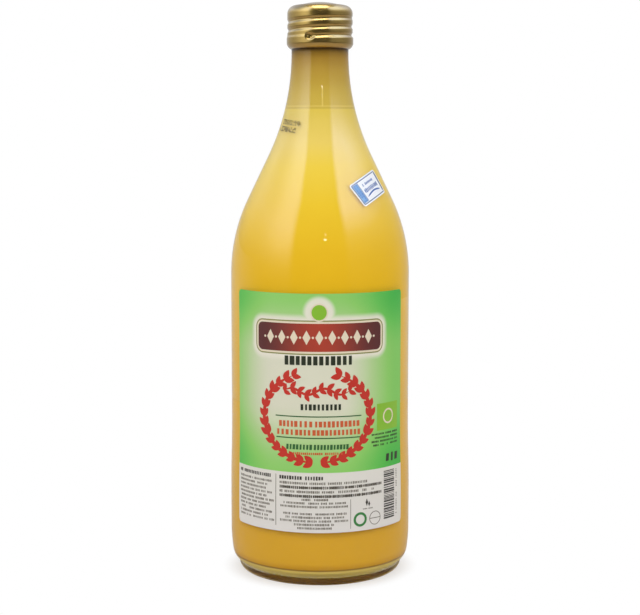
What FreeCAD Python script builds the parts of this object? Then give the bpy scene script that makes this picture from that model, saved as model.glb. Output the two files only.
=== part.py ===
import FreeCAD, Part
import math
import os

# A one-litre round bottle of cider vinegar: clear glass, the drink inside it, a roll-on screw cap,
# a paper label round the front and a small square tag stuck on the shoulder.
# Millimetres, +Z up. The origin is the centre of the ring that the bottle stands on, and the
# middle of the label faces -Y.

# Overall sizes
OVERALL_HEIGHT = 277.7      # standing face to the top of the cap
BODY_RADIUS = 43.7          # outside of the glass at the shoulder end of the label panel
NECK_RADIUS = 13.8          # outside of the glass just under the cap
GLASS_WALL = 2.15           # side wall of the body, shoulder and neck

# Foot: standing ring, the notch above it and the rounded heel
RING_INSET = 4.1            # how far the standing ring lies inside the widest part of the body
RING_HEIGHT = 4.0
RING_EDGE_RADIUS = 3.2      # rounding between the ring's side and the face it stands on
RING_FACE_WIDTH = 3.4       # flat annulus that touches the table
NOTCH_DEPTH = 0.3
NOTCH_HEIGHT = 0.6
HEEL_RADIUS = 7.0
HEEL_SWEEP_RADIUS = 80.0    # long arc that eases the heel into the side
HEEL_SWEEP_HEIGHT = 11.5
HEEL_TOP = 21.0             # where the side becomes straight
PUNT_HEIGHT = 5.0           # push-up under the base
BASE_THICKNESS = 7.4        # glass between the table and the lowest drink
BORE_HEEL_RADIUS = 12.0
BORE_PUNT_HEIGHT = 4.5      # rise of the bore's floor in the middle
BORE_PUNT_INSET = 20.0      # from the bore's side to the foot of that rise

# Body and shoulder
SWELL = 0.6                 # how much fuller the glass is below the middle of the label
SWELL_BOTTOM = 38.0
SWELL_TOP = 80.0
SHOULDER_START = 146.4
SHOULDER_STRAIGHT = 23.7    # straight stretch between the shoulder's arc and the neck's
SHOULDER_ARC_SHARE = 0.426  # shoulder arc's share of the two arcs' radii added up

# Neck finish under the cap
NECK_STRAIGHT = 1.6         # plain neck that shows between the neck's arc and the cap
BEAD_STEP = 1.9             # locking bead that the cap's skirt is rolled under
BEAD_SLOPE = 2.2
BEAD_HEIGHT = 3.4
FINISH_STEP = 1.1           # finish above the bead, beyond the neck
FINISH_BORE_RADIUS = 10.6
FINISH_BORE_TAPER = 5.0

# Cap
CAP_HEIGHT = 22.4
CAP_SKIN = 0.25
CAP_CLEARANCE = 0.15        # between the cap's skin and the glass beside it
CAP_RIDGE = 0.5             # how far the cap stands out beside its rolled grooves
CAP_GROOVE_WIDTH = 2.6
CAP_GROOVE_PITCH = 4.1
CAP_GROOVE_COUNT = 2
CAP_FIRST_GROOVE = 8.7      # top of the cap down to the middle of the first groove
CAP_ROUND = 4.5             # rounding between the top and the side
CAP_DOME_RISE = 0.6
CAP_DOME_INSET = 1.3        # flat ring of the top that presses on the lip

# Drink
FILL_LEVEL = 226.3

# Label and tag
PAPER = 0.15
LABEL_WIDTH = 96.0          # round the glass
LABEL_HEIGHT = 113.4
LABEL_BOTTOM = 27.5
LABEL_CORNER_RADIUS = 2.0
TAG_LENGTH = 21.2
TAG_WIDTH = 12.4
TAG_CENTRE_HEIGHT = 189.4
TAG_AZIMUTH = 47.2          # degrees from the front, towards +X
TAG_TURN = 21.5             # degrees that the tag's far end stands higher than level

# Places that follow from the sizes above
FULL_RADIUS = BODY_RADIUS + SWELL
RING_RADIUS = FULL_RADIUS - RING_INSET
CAP_BOTTOM = OVERALL_HEIGHT - CAP_HEIGHT
NECK_TOP = CAP_BOTTOM
NECK_ARC_TOP = NECK_TOP - NECK_STRAIGHT
FINISH_RADIUS = NECK_RADIUS + FINISH_STEP
BEAD_RADIUS = NECK_RADIUS + BEAD_STEP
CAP_BORE_RADIUS = FINISH_RADIUS + CAP_CLEARANCE
CAP_GROOVE_RADIUS = CAP_BORE_RADIUS + CAP_SKIN
CAP_RADIUS = CAP_GROOVE_RADIUS + CAP_RIDGE
CAP_BAND_BORE_RADIUS = BEAD_RADIUS + CAP_CLEARANCE
CAP_BAND_RADIUS = CAP_BAND_BORE_RADIUS + CAP_SKIN
CAP_SHOULDER = OVERALL_HEIGHT - CAP_DOME_RISE
CAP_FLAT_RADIUS = CAP_RADIUS - CAP_ROUND
LIP_TOP = CAP_SHOULDER - CAP_SKIN
AXIS_BASE = FreeCAD.Vector(0, 0, 0)
AXIS_UP = FreeCAD.Vector(0, 0, 1)


def point(radius, height):
    return FreeCAD.Vector(radius, 0, height)


def line(start, end):
    return Part.LineSegment(point(*start), point(*end)).toShape()


def arc(start, centre, end):
    """Shorter arc between two (radius, height) places about a centre."""
    span = math.dist(start, centre)
    middle = [(a + b) / 2 - c for a, b, c in zip(start, end, centre)]
    reach = span / math.hypot(*middle)
    via = [c + m * reach for c, m in zip(centre, middle)]
    return Part.Arc(point(*start), point(*via), point(*end)).toShape()


def dome(edge_radius, edge_height, rise):
    """Arc from the edge of a shallow dome to its top on the axis."""
    radius = (edge_radius ** 2 + rise ** 2) / (2 * rise)
    centre = (0, edge_height + rise - radius)
    return arc((edge_radius, edge_height), centre, (0, edge_height + rise))


def chain(places):
    """Straight edges through a list of (radius, height) places."""
    return [line(a, b) for a, b in zip(places, places[1:])]


def turned(edges):
    """Solid made by turning a closed outline once round the axis."""
    face = Part.Face(Part.Wire(edges))
    return face.revolve(AXIS_BASE, AXIS_UP, 360)


def end_of(edge):
    place = edge.lastVertex(True).Point
    return (place.x, place.z)


def shoulder(out):
    """Places and centres of the shoulder's arc, its straight stretch and the neck's reversed arc.

    All three are tangent, so the arcs' radii and the slope follow from the height and the radius
    between the body and the neck. The whole is moved outwards by a distance.
    """
    rise = NECK_ARC_TOP - SHOULDER_START
    inset = BODY_RADIUS - NECK_RADIUS
    radii = (rise ** 2 + inset ** 2 - SHOULDER_STRAIGHT ** 2) / (2 * inset)
    slope = math.atan2(rise, radii - inset) - math.atan2(SHOULDER_STRAIGHT, radii)
    shoulder_radius = radii * SHOULDER_ARC_SHARE + out
    neck_arc_radius = radii * (1 - SHOULDER_ARC_SHARE) - out
    shoulder_centre = (BODY_RADIUS + out - shoulder_radius, SHOULDER_START)
    neck_centre = (NECK_RADIUS + out + neck_arc_radius, NECK_ARC_TOP)
    low = (shoulder_centre[0] + shoulder_radius * math.cos(slope),
           shoulder_centre[1] + shoulder_radius * math.sin(slope))
    high = (neck_centre[0] - neck_arc_radius * math.cos(slope),
            neck_centre[1] - neck_arc_radius * math.sin(slope))
    return shoulder_centre, low, high, neck_centre, slope


def side(out):
    """Edges of the side from the heel's top up to the neck, moved outwards by a distance."""
    low = FULL_RADIUS + out
    high = BODY_RADIUS + out
    neck = NECK_RADIUS + out
    half_rise = (SWELL_TOP - SWELL_BOTTOM) / 2
    swell_radius = (half_rise ** 2 + (SWELL / 2) ** 2) / SWELL
    swell_middle = (low + high) / 2
    swell_turn = math.asin(half_rise / swell_radius)
    middle = (swell_middle + out * (math.cos(swell_turn) - 1),
              (SWELL_BOTTOM + SWELL_TOP) / 2 + out * math.sin(swell_turn))
    shoulder_centre, shoulder_end, neck_start, neck_centre, _ = shoulder(out)
    return [
        line((low, HEEL_TOP), (low, SWELL_BOTTOM)),
        arc((low, SWELL_BOTTOM), (FULL_RADIUS - swell_radius, SWELL_BOTTOM), middle),
        arc(middle, (BODY_RADIUS + swell_radius, SWELL_TOP), (high, SWELL_TOP)),
        line((high, SWELL_TOP), (high, SHOULDER_START)),
        arc((high, SHOULDER_START), shoulder_centre, shoulder_end),
        line(shoulder_end, neck_start),
        arc(neck_start, neck_centre, (neck, NECK_ARC_TOP)),
        line((neck, NECK_ARC_TOP), (neck, NECK_TOP)),
    ]


def foot():
    """Outside of the glass from the axis out to the heel's top."""
    ring_outer = RING_RADIUS - RING_EDGE_RADIUS
    ring_inner = ring_outer - RING_FACE_WIDTH
    ring_top = (RING_RADIUS, RING_HEIGHT)
    notch = (RING_RADIUS - NOTCH_DEPTH, RING_HEIGHT + NOTCH_HEIGHT / 2)
    sweep_turn = math.asin(HEEL_SWEEP_HEIGHT / HEEL_SWEEP_RADIUS)
    sweep_centre = (FULL_RADIUS - HEEL_SWEEP_RADIUS, HEEL_TOP)
    sweep_foot = (sweep_centre[0] + HEEL_SWEEP_RADIUS * math.cos(sweep_turn),
                  HEEL_TOP - HEEL_SWEEP_HEIGHT)
    heel_centre = (sweep_foot[0] - HEEL_RADIUS * math.cos(sweep_turn),
                   sweep_foot[1] + HEEL_RADIUS * math.sin(sweep_turn))
    heel_foot_height = RING_HEIGHT + NOTCH_HEIGHT
    heel_reach = math.sqrt(HEEL_RADIUS ** 2 - (heel_centre[1] - heel_foot_height) ** 2)
    heel_foot = (heel_centre[0] + heel_reach, heel_foot_height)
    edge_centre = (ring_outer, RING_EDGE_RADIUS)
    punt = dome(ring_inner, 0, PUNT_HEIGHT)
    return [
        punt,
        line((ring_inner, 0), (ring_outer, 0)),
        arc((ring_outer, 0), edge_centre, (RING_RADIUS, RING_EDGE_RADIUS)),
        *chain([(RING_RADIUS, RING_EDGE_RADIUS), ring_top, notch, heel_foot]),
        arc(heel_foot, heel_centre, sweep_foot),
        arc(sweep_foot, sweep_centre, (FULL_RADIUS, HEEL_TOP)),
    ]


def finish():
    """Outside of the neck finish, from the plain neck over the locking bead to the lip."""
    bead_low = NECK_TOP + BEAD_SLOPE
    bead_high = bead_low + BEAD_HEIGHT
    lip_round = FINISH_RADIUS - (CAP_FLAT_RADIUS - CAP_CLEARANCE)
    lip_edge = (FINISH_RADIUS - lip_round, LIP_TOP)
    lip_side = (FINISH_RADIUS, LIP_TOP - lip_round)
    return [
        *chain([
            (NECK_RADIUS, NECK_TOP),
            (BEAD_RADIUS, bead_low),
            (BEAD_RADIUS, bead_high),
            (FINISH_RADIUS, bead_high + BEAD_RADIUS - FINISH_RADIUS),
            lip_side,
        ]),
        arc(lip_side, (lip_edge[0], lip_side[1]), lip_edge),
    ], lip_edge


def bore():
    """Space inside the glass, from its floor out through the lip."""
    radius = FULL_RADIUS - GLASS_WALL
    floor_edge = (radius - BORE_HEEL_RADIUS, BASE_THICKNESS)
    heel_top = (radius, BASE_THICKNESS + BORE_HEEL_RADIUS)
    punt_edge = (radius - BORE_PUNT_INSET, BASE_THICKNESS)
    neck = NECK_RADIUS - GLASS_WALL
    finish_bore = (FINISH_BORE_RADIUS, NECK_TOP + FINISH_BORE_TAPER)
    mouth = (FINISH_BORE_RADIUS, LIP_TOP)
    floor_middle = (0, BASE_THICKNESS + BORE_PUNT_HEIGHT)
    return turned([
        dome(punt_edge[0], punt_edge[1], BORE_PUNT_HEIGHT),
        line(punt_edge, floor_edge),
        arc(floor_edge, (floor_edge[0], heel_top[1]), heel_top),
        line(heel_top, (radius, HEEL_TOP)),
        *side(-GLASS_WALL),
        *chain([(neck, NECK_TOP), finish_bore, mouth, (0, LIP_TOP), floor_middle]),
    ])


def glass_blank():
    """Bottle as if it were solid glass."""
    finish_edges, lip_edge = finish()
    return turned([
        *foot(),
        *side(0),
        *finish_edges,
        *chain([lip_edge, (0, LIP_TOP), (0, PUNT_HEIGHT)]),
    ])


def make_bottle():
    return glass_blank().cut(bore())


def make_vinegar():
    """Drink that fills the bore up to its level."""
    below_level = Part.makeCylinder(2 * FULL_RADIUS, FILL_LEVEL)
    return bore().common(below_level)


def make_cap():
    """Aluminium shell with rolled grooves, seated on the lip and tucked under the bead."""
    edge = (NECK_RADIUS + CAP_CLEARANCE, CAP_BOTTOM)
    band_low = CAP_BOTTOM + BEAD_SLOPE
    band_high = band_low + BEAD_HEIGHT
    round_centre = (CAP_FLAT_RADIUS, CAP_SHOULDER - CAP_ROUND)
    dome_radius = CAP_FLAT_RADIUS - CAP_DOME_INSET
    last = (CAP_BAND_RADIUS, band_high)
    outside = chain([(edge[0] + CAP_SKIN, CAP_BOTTOM), (CAP_BAND_RADIUS, band_low), last])
    for index in reversed(range(CAP_GROOVE_COUNT)):
        middle = OVERALL_HEIGHT - CAP_FIRST_GROOVE - index * CAP_GROOVE_PITCH
        low = (CAP_RADIUS, middle - CAP_GROOVE_WIDTH / 2)
        high = (CAP_RADIUS, middle + CAP_GROOVE_WIDTH / 2)
        outside.append(line(last, low))
        outside.append(Part.Arc(point(*low), point(CAP_GROOVE_RADIUS, middle), point(*high)).toShape())
        last = high
    round_foot = (CAP_RADIUS, round_centre[1])
    outside += [
        line(last, round_foot),
        arc(round_foot, round_centre, (CAP_FLAT_RADIUS, CAP_SHOULDER)),
        line((CAP_FLAT_RADIUS, CAP_SHOULDER), (dome_radius, CAP_SHOULDER)),
        dome(dome_radius, CAP_SHOULDER, CAP_DOME_RISE),
    ]
    inner_round = CAP_ROUND - CAP_SKIN - CAP_RIDGE
    inner_centre = (CAP_BORE_RADIUS - inner_round, LIP_TOP - inner_round)
    inside = [
        *chain([
            edge,
            (CAP_BAND_BORE_RADIUS, band_low),
            (CAP_BAND_BORE_RADIUS, band_high),
            (CAP_BORE_RADIUS, band_high + CAP_BAND_BORE_RADIUS - CAP_BORE_RADIUS),
            (CAP_BORE_RADIUS, inner_centre[1]),
        ]),
        arc((CAP_BORE_RADIUS, inner_centre[1]), inner_centre, (inner_centre[0], LIP_TOP)),
        line((inner_centre[0], LIP_TOP), (dome_radius, LIP_TOP)),
        dome(dome_radius, LIP_TOP, CAP_DOME_RISE),
    ]
    closing = [
        line((0, LIP_TOP + CAP_DOME_RISE), (0, OVERALL_HEIGHT)),
        line(edge, (edge[0] + CAP_SKIN, CAP_BOTTOM)),
    ]
    return turned(Part.__sortEdges__(outside + inside + closing))


def paper_skin():
    """Layer of paper all over the outside of the glass side."""
    closed_ends = [
        line((FULL_RADIUS, HEEL_TOP), (FULL_RADIUS + PAPER, HEEL_TOP)),
        line((NECK_RADIUS, NECK_TOP), (NECK_RADIUS + PAPER, NECK_TOP)),
    ]
    return turned(Part.__sortEdges__(side(0) + side(PAPER) + closed_ends))


def make_label():
    """Front part of the paper skin, inside a window with rounded corners."""
    half_angle = math.degrees(LABEL_WIDTH / 2 / FULL_RADIUS)
    reach = 2 * FULL_RADIUS
    window = Part.makeCylinder(reach, LABEL_HEIGHT, point(0, LABEL_BOTTOM), AXIS_UP, 2 * half_angle)
    ends = [e for e in window.Edges if isinstance(e.Curve, Part.Line) and abs(e.Length - reach) < PAPER]
    window = window.makeFillet(LABEL_CORNER_RADIUS, ends)
    window.rotate(AXIS_BASE, AXIS_UP, -90 - half_angle)
    return paper_skin().common(window)


def make_tag():
    """Small rectangle of the paper skin on the shoulder, turned on the glass."""
    _, low, high, _, slope = shoulder(0)
    share = (TAG_CENTRE_HEIGHT - low[1]) / (high[1] - low[1])
    radius = low[0] + (high[0] - low[0]) * share
    depth = TAG_WIDTH
    corner = FreeCAD.Vector(-TAG_LENGTH / 2, -TAG_WIDTH / 2, -depth / 2)
    blade = Part.makeBox(TAG_LENGTH, TAG_WIDTH, depth, corner)
    blade.rotate(AXIS_BASE, AXIS_UP, TAG_TURN)
    blade.rotate(AXIS_BASE, FreeCAD.Vector(1, 0, 0), 90 - math.degrees(slope))
    blade.translate(FreeCAD.Vector(0, -radius, TAG_CENTRE_HEIGHT))
    blade.rotate(AXIS_BASE, AXIS_UP, TAG_AZIMUTH)
    return paper_skin().common(blade)


os.makedirs("parts", exist_ok=True)
PIECES = {
    "bottle": make_bottle(),
    "vinegar": make_vinegar(),
    "cap": make_cap(),
    "label": make_label(),
    "tag": make_tag(),
}
for name, shape in PIECES.items():
    solid = shape.Solids[0]
    solid.exportStep(f"parts/{name}.step")
    print(f"{name}: {len(shape.Solids)} solid, valid {solid.isValid()}, {solid.Volume / 1000:.2f} cm3")
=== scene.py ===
import math
import random

import bmesh
import bpy
import numpy as np
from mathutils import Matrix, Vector


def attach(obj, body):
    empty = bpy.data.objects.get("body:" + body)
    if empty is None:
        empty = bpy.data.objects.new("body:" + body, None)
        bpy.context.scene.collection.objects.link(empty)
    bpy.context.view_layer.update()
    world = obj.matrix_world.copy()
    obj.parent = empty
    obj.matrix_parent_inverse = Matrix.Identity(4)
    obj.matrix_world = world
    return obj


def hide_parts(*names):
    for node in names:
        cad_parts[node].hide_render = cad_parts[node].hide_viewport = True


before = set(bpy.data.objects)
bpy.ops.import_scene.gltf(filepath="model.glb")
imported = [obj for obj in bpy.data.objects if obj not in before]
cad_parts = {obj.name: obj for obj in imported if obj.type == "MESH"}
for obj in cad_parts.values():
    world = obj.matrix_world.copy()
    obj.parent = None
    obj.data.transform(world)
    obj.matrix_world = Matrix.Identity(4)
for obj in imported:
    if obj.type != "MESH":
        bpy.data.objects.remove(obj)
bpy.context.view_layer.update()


# ---- Glass bottle ---------------------------------------------------------------------------
# A round one-litre bottle of clear soda-lime glass, blown in a mould and stood on a narrow ring.
# The side swells a little below the label's middle, and one long slope leads to a slim neck. The
# cap hides the real one's locking bead and thread, so the finish is left plain under it.

MM = 0.001
CAP_BOTTOM = 255.3
BODY_RADIUS = 43.7
NECK_RADIUS = 13.8
GLASS_WALL = 2.15
RING_RADIUS = 40.2
RING_EDGE_RADIUS = 3.2
RING_FACE_WIDTH = 3.4
RING_HEIGHT = 4.0
NOTCH_DEPTH = 0.3
NOTCH_HEIGHT = 0.6
HEEL_RADIUS = 7.0
HEEL_SWEEP_RADIUS = 80.0
HEEL_SWEEP_HEIGHT = 11.5
HEEL_TOP = 21.0
PUNT_HEIGHT = 5.0
BASE_THICKNESS = 7.4
BORE_HEEL_RADIUS = 4.6
BORE_PUNT_RADIUS = 29.0
BORE_PUNT_HEIGHT = 4.5
SWELL = 0.6
SWELL_BOTTOM = 38.0
SWELL_TOP = 80.0
SHOULDER_START = 146.4
SHOULDER_STRAIGHT = 23.7
SHOULDER_ARC_SHARE = 0.426
NECK_STRAIGHT = 1.6
FINISH_RADIUS = 14.9
FINISH_BORE_RADIUS = 10.6
FINISH_BORE_TAPER = 5.0
FINISH_STEP_RISE = 2.2
LIP_TOP = 275.6
LIP_ROUND = 3.75
FULL_RADIUS = BODY_RADIUS + SWELL
GLASS_TINT = (0.985, 0.99, 0.965, 1.0)
GLASS_INDEX = 1.5


def arc(centre, radius, start, end, steps):
    """Places (radius, height) on an arc, from one angle to another in degrees."""
    places = []
    for step in range(steps + 1):
        angle = math.radians(start + (end - start) * step / steps)
        places.append((centre[0] + radius * math.cos(angle), centre[1] + radius * math.sin(angle)))
    return places


def dome(edge_radius, edge_height, rise, steps=16):
    """Places on a shallow dome, from its middle out to its edge."""
    radius = (edge_radius ** 2 + rise ** 2) / (2 * rise)
    edge_angle = math.degrees(math.acos(edge_radius / radius))
    return arc((0, edge_height + rise - radius), radius, 90, edge_angle, steps)


def glass_side(out):
    """Places up the side of the bottle, moved outwards by a distance."""
    half_rise = (SWELL_TOP - SWELL_BOTTOM) / 2
    swell_radius = (half_rise ** 2 + (SWELL / 2) ** 2) / SWELL
    swell_turn = math.degrees(math.asin(half_rise / swell_radius))
    neck_arc_top = CAP_BOTTOM - NECK_STRAIGHT
    rise = neck_arc_top - SHOULDER_START
    inset = BODY_RADIUS - NECK_RADIUS
    radii = (rise ** 2 + inset ** 2 - SHOULDER_STRAIGHT ** 2) / (2 * inset)
    slope = math.degrees(math.atan2(rise, radii - inset) - math.atan2(SHOULDER_STRAIGHT, radii))
    shoulder = radii * SHOULDER_ARC_SHARE + out
    neck_arc = radii * (1 - SHOULDER_ARC_SHARE) - out
    return [
        (FULL_RADIUS + out, HEEL_TOP),
        *arc((FULL_RADIUS - swell_radius, SWELL_BOTTOM), swell_radius + out, 0, swell_turn, 10),
        *arc((BODY_RADIUS + swell_radius, SWELL_TOP), swell_radius - out, 180 + swell_turn, 180, 10)[1:],
        *arc((BODY_RADIUS + out - shoulder, SHOULDER_START), shoulder, 0, slope, 40),
        *arc((NECK_RADIUS + out + neck_arc, neck_arc_top), neck_arc, 180 + slope, 180, 40),
        (NECK_RADIUS + out, CAP_BOTTOM),
    ]


def glass_foot():
    """Places from the middle of the base out over the standing ring to the heel's top."""
    ring_outer = RING_RADIUS - RING_EDGE_RADIUS
    sweep_turn = math.degrees(math.asin(HEEL_SWEEP_HEIGHT / HEEL_SWEEP_RADIUS))
    sweep_centre = (FULL_RADIUS - HEEL_SWEEP_RADIUS, HEEL_TOP)
    sweep_foot = arc(sweep_centre, HEEL_SWEEP_RADIUS, -sweep_turn, 0, 1)[0]
    heel_centre = (sweep_foot[0] - HEEL_RADIUS * math.cos(math.radians(sweep_turn)),
                   sweep_foot[1] + HEEL_RADIUS * math.sin(math.radians(sweep_turn)))
    heel_foot = math.degrees(math.asin((RING_HEIGHT + NOTCH_HEIGHT - heel_centre[1]) / HEEL_RADIUS))
    return [
        *dome(ring_outer - RING_FACE_WIDTH, 0, PUNT_HEIGHT),
        *arc((ring_outer, RING_EDGE_RADIUS), RING_EDGE_RADIUS, -90, 0, 12),
        (RING_RADIUS, RING_HEIGHT),
        (RING_RADIUS - NOTCH_DEPTH, RING_HEIGHT + NOTCH_HEIGHT / 2),
        *arc(heel_centre, HEEL_RADIUS, heel_foot, -sweep_turn, 14),
        *arc(sweep_centre, HEEL_SWEEP_RADIUS, -sweep_turn, 0, 8)[1:-1],
    ]


def bore_floor(out):
    """Places over the floor of the bore, from its middle to its side, moved into the glass."""
    side_radius = FULL_RADIUS - GLASS_WALL
    heel_centre = (side_radius - BORE_HEEL_RADIUS, BASE_THICKNESS + BORE_HEEL_RADIUS)
    return [
        *dome(BORE_PUNT_RADIUS, BASE_THICKNESS - out, BORE_PUNT_HEIGHT),
        *arc(heel_centre, BORE_HEEL_RADIUS + out, -90, 0, 20),
    ]


def turned(name, outline, sides=192, sharp=35):
    """Closed mesh made by turning an outline of (radius, height) places round the axis.

    Places on the axis become poles. An outline that doesn't meet the axis closes on itself.
    """
    verts = []
    faces = []
    rings = []
    for radius, height in outline:
        first = len(verts)
        count = sides if radius > 1e-6 else 1
        for side in range(count):
            angle = 2 * math.pi * side / sides
            verts.append((radius * MM * math.cos(angle), radius * MM * math.sin(angle), height * MM))
        rings.append(range(first, first + count))
    pairs = list(zip(rings, rings[1:]))
    if len(rings[0]) > 1:
        pairs.append((rings[-1], rings[0]))
    for low, high in pairs:
        for side in range(sides):
            after = (side + 1) % sides
            if len(low) == 1:
                faces.append((low[0], high[after], high[side]))
            elif len(high) == 1:
                faces.append((low[side], low[after], high[0]))
            else:
                faces.append((low[side], low[after], high[after], high[side]))
    mesh = new_mesh(name, verts, faces)
    mesh.shade_smooth()
    mesh.set_sharp_from_angle(angle=math.radians(sharp))
    return mesh


def new_mesh(name, verts, faces, edges=()):
    mesh = bpy.data.meshes.new(name)
    mesh.from_pydata(verts, edges, faces)
    return mesh


def arithmetic(operation, flipped=False):
    """Method that joins a wire and a value in a Math node, in that order or flipped."""
    def join(self, other):
        return self.math(operation, *((other, self) if flipped else (self, other)))
    return join


class Wire:
    """An output socket of a node. Arithmetic on it adds Math nodes to its tree."""

    def __init__(self, bench, socket):
        self.bench = bench
        self.socket = socket

    def math(self, operation, *values):
        return self.bench.node("ShaderNodeMath", dict(enumerate(values)), operation=operation)

    def __getitem__(self, output):
        return Wire(self.bench, self.socket.node.outputs[output])

    __add__ = __radd__ = arithmetic("ADD")
    __sub__ = arithmetic("SUBTRACT")
    __rsub__ = arithmetic("SUBTRACT", flipped=True)
    __mul__ = __rmul__ = arithmetic("MULTIPLY")
    __truediv__ = arithmetic("DIVIDE")
    __lt__ = arithmetic("LESS_THAN")
    __gt__ = arithmetic("GREATER_THAN")

    def __abs__(self):
        return self.math("ABSOLUTE", self)

    def share(self, low, high):
        """0 below one value, 1 above the other, and a soft step between them."""
        return self.bench.node("ShaderNodeMapRange", {"Value": self, "From Min": low, "From Max": high},
                               interpolation_type="SMOOTHSTEP")

    def ramp(self, *stops):
        """Colour from stops of (place from 0 to 1, colour)."""
        return self.bench.node("ShaderNodeValToRGB", {"Fac": self}, stops)


class Bench:
    """A node tree that is being filled in."""

    def __init__(self, tree):
        self.tree = tree
        tree.nodes.clear()

    def node(self, kind, inputs=None, stops=(), **settings):
        """New node of a kind. Its settings and its ramp's stops are set before its sockets."""
        made = self.tree.nodes.new(kind)
        for name, value in settings.items():
            setattr(made, name, value)
        for _ in stops[2:]:
            made.color_ramp.elements.new(1.0)
        for step, (place, colour) in enumerate(stops):
            made.color_ramp.elements[step].position = place
            made.color_ramp.elements[step].color = colour
        for name, value in (inputs or {}).items():
            if isinstance(value, Wire):
                self.tree.links.new(value.socket, made.inputs[name])
            else:
                made.inputs[name].default_value = value
        return Wire(self, made.outputs[0]) if made.outputs else made

    def mixed(self, mask, below, above):
        """One colour laid over another where a mask is 1."""
        return self.node("ShaderNodeMix", {0: mask, 6: below, 7: above}, data_type="RGBA")[2]

    def place(self):
        """The two level distances from the axis and the height, in millimetres."""
        spot = self.node("ShaderNodeTexCoord")["Object"]
        parts = self.node("ShaderNodeSeparateXYZ", {0: spot})
        return parts["X"] / MM, parts["Y"] / MM, parts["Z"] / MM

    def noise(self, scale, detail=2.0, stretch=(1.0, 1.0, 1.0)):
        """Soft noise of a size in features per metre, stretched along an axis if asked."""
        spot = self.node("ShaderNodeTexCoord")["Object"]
        spot = self.node("ShaderNodeMapping", {"Vector": spot, "Scale": stretch})
        return self.node("ShaderNodeTexNoise", {"Vector": spot, "Scale": scale, "Detail": detail})

    def bump(self, height, depth):
        return self.node("ShaderNodeBump", {"Height": height, "Distance": depth, "Strength": 1.0})

    def chance(self, low, high, seed):
        """Random number between two, its own at each spot."""
        return self.node("FunctionNodeRandomValue", {"Min": low, "Max": high, "Seed": seed},
                         data_type="FLOAT")[1]

    def length(self, *parts):
        """Distance made up of parts that lie square to each other."""
        spot = self.node("ShaderNodeCombineXYZ", dict(enumerate(parts)))
        return self.node("ShaderNodeVectorMath", {0: spot}, operation="LENGTH")["Value"]

    def surface(self, shader):
        self.node("ShaderNodeOutputMaterial", {"Surface": shader})

    def painted(self, inputs):
        self.surface(self.node("ShaderNodeBsdfPrincipled", inputs))


def new_finish(name):
    material = bpy.data.materials.new(name)
    material.use_nodes = True
    return material, Bench(material.node_tree)


def paint(red, green, blue):
    """Scene colour of a paint that shows as these 0 to 255 values in plain light."""
    shares = [value / 255 for value in (red, green, blue)]
    return (*[s / 12.92 if s <= 0.04045 else ((s + 0.055) / 1.055) ** 2.4 for s in shares], 1.0)


def linked(name, data):
    made = bpy.data.objects.new(name, data)
    bpy.context.scene.collection.objects.link(made)
    return made


def new_piece(name, mesh, material):
    """Object for a finished mesh, at the origin, with its place in the mesh."""
    mesh.materials.clear()
    mesh.materials.append(material)
    return linked(name, mesh)


clear_glass, bench = new_finish("clear_glass")
thickness_waves = bench.noise(38.0, 1.0, (1.0, 1.0, 0.35))
glass_shader = bench.node("ShaderNodeBsdfPrincipled", {
    "Base Color": GLASS_TINT,
    "Roughness": 0.0,
    "IOR": GLASS_INDEX,
    "Transmission Weight": 1.0,
    "Normal": bench.bump(thickness_waves, 0.00025),
})
path = bench.node("ShaderNodeLightPath")
lets_light_in = path.math("MAXIMUM", path["Is Shadow Ray"], path["Is Diffuse Ray"])
open_way = bench.node("ShaderNodeBsdfTransparent")
bench.surface(bench.node("ShaderNodeMixShader", {0: lets_light_in, 1: glass_shader, 2: open_way}))

glass_outline = [
    *glass_foot(),
    *glass_side(0),
    (FINISH_RADIUS, CAP_BOTTOM + FINISH_STEP_RISE),
    *arc((FINISH_RADIUS - LIP_ROUND, LIP_TOP - LIP_ROUND), LIP_ROUND, 0, 90, 10),
    (FINISH_BORE_RADIUS, LIP_TOP),
    (FINISH_BORE_RADIUS, CAP_BOTTOM + FINISH_BORE_TAPER),
    *reversed(glass_side(-GLASS_WALL)),
    *reversed(bore_floor(0)),
]
bottle = new_piece("glass_bottle", turned("glass_bottle", glass_outline), clear_glass)
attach(bottle, "root")
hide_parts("bottle")


# ---- Vinegar --------------------------------------------------------------------------------
# Unfiltered cider vinegar, cloudy and golden, which fills the bottle to the foot of the neck.
# It reaches a little into the wall so that no air shows, and it climbs the glass at its level. Its colour
# holds painted light and shade: paler up under the shoulder and darker down towards the foot. The floor
# of the bore is painted pale as painted light through the vinegar, with a painted dark line round its edge.

FILL_LEVEL = 226.3
WALL_BITE = 0.3
MENISCUS_RISE = 0.9
MENISCUS_REACH = 1.5

wet_side = glass_side(WALL_BITE - GLASS_WALL)
wet_heights = [height for _, height in wet_side]
wet_radii = [radius for radius, _ in wet_side]
level_radius = float(np.interp(FILL_LEVEL, wet_heights, wet_radii))
vinegar_outline = [
    *bore_floor(WALL_BITE),
    *[spot for spot in wet_side if spot[1] < FILL_LEVEL - 0.5],
    (level_radius, FILL_LEVEL),
    *[(level_radius - inward, FILL_LEVEL - MENISCUS_RISE * (1 - math.exp(-inward / MENISCUS_REACH)))
      for inward in (0.3, 0.7, 1.2, 2.0, 3.0, 4.5, 7.0, 10.0)],
    (0, FILL_LEVEL - MENISCUS_RISE),
]

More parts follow.
